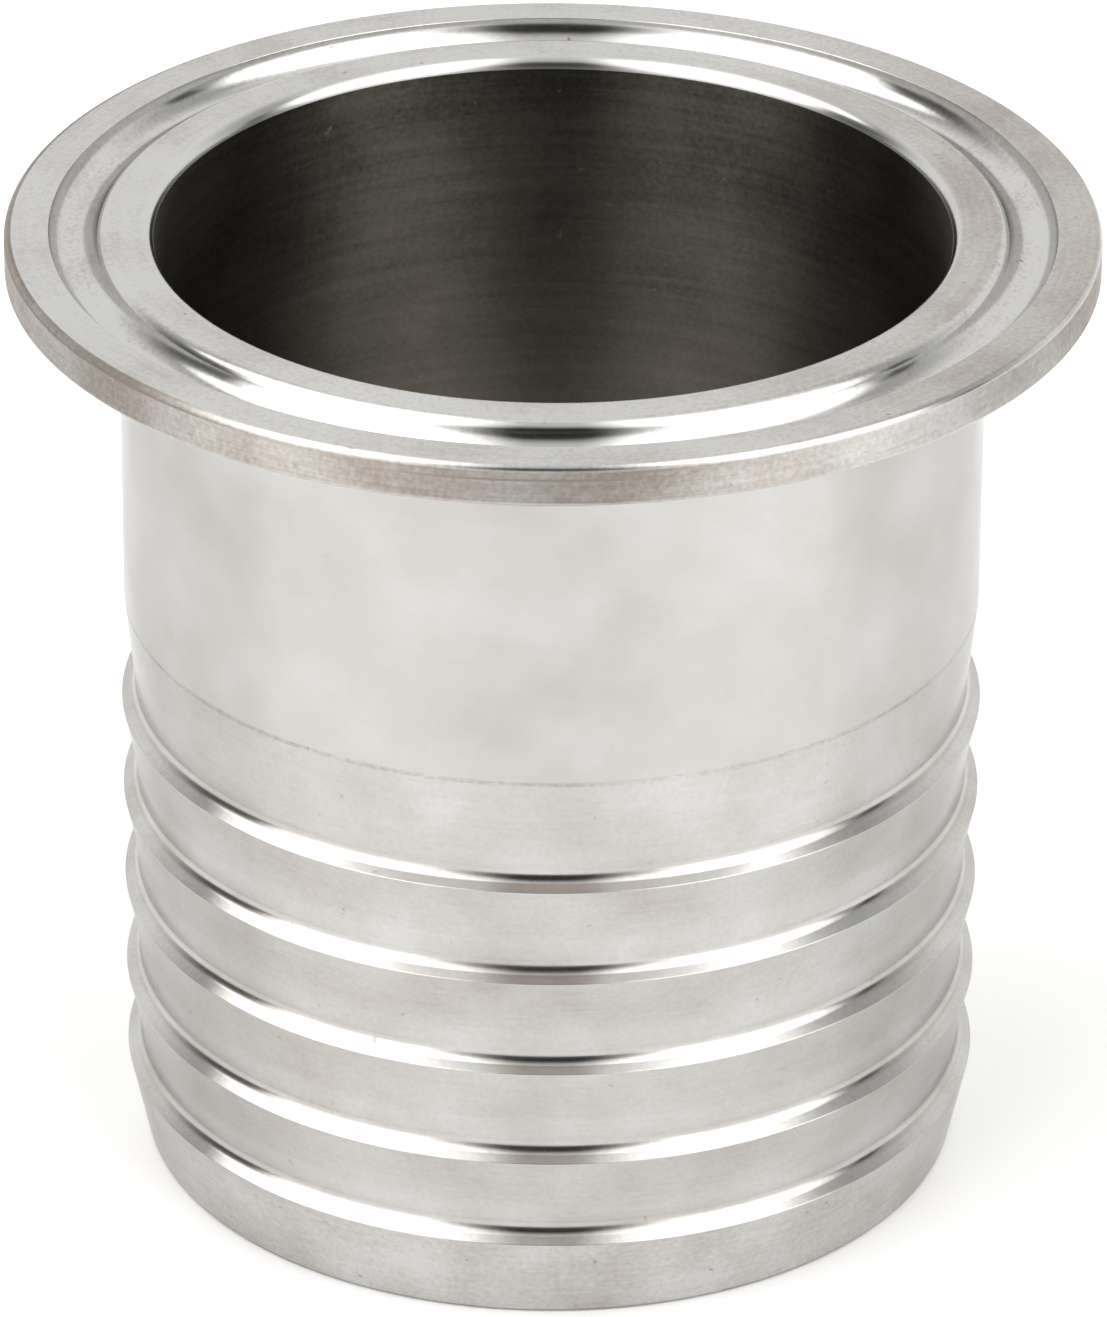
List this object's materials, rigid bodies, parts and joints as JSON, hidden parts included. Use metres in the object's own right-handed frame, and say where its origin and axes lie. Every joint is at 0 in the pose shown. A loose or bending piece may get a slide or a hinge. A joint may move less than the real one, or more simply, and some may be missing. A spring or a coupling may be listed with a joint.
{
  "type": "sanitary clamp hose barb",
  "caption": "Turned stainless steel fitting that joins a clamp flange with a gasket groove to a barbed hose tail, along a straight through bore.",
  "frame": {"origin": "centre of the tail's end face, which the part stands on", "axes": "+Z along the bore's axis, from the hose tail up to the gasket face; the part is round, so +X and +Y are free"},
  "size_m": [0.064, 0.064, 0.0593],
  "materials": {
    "stainless": "turned stainless steel, polished neck and barbs, plainer flange rim"
  },
  "bodies": {
    "root": {"clamp_hose_barb": "stainless"}
  },
  "joints": []
}
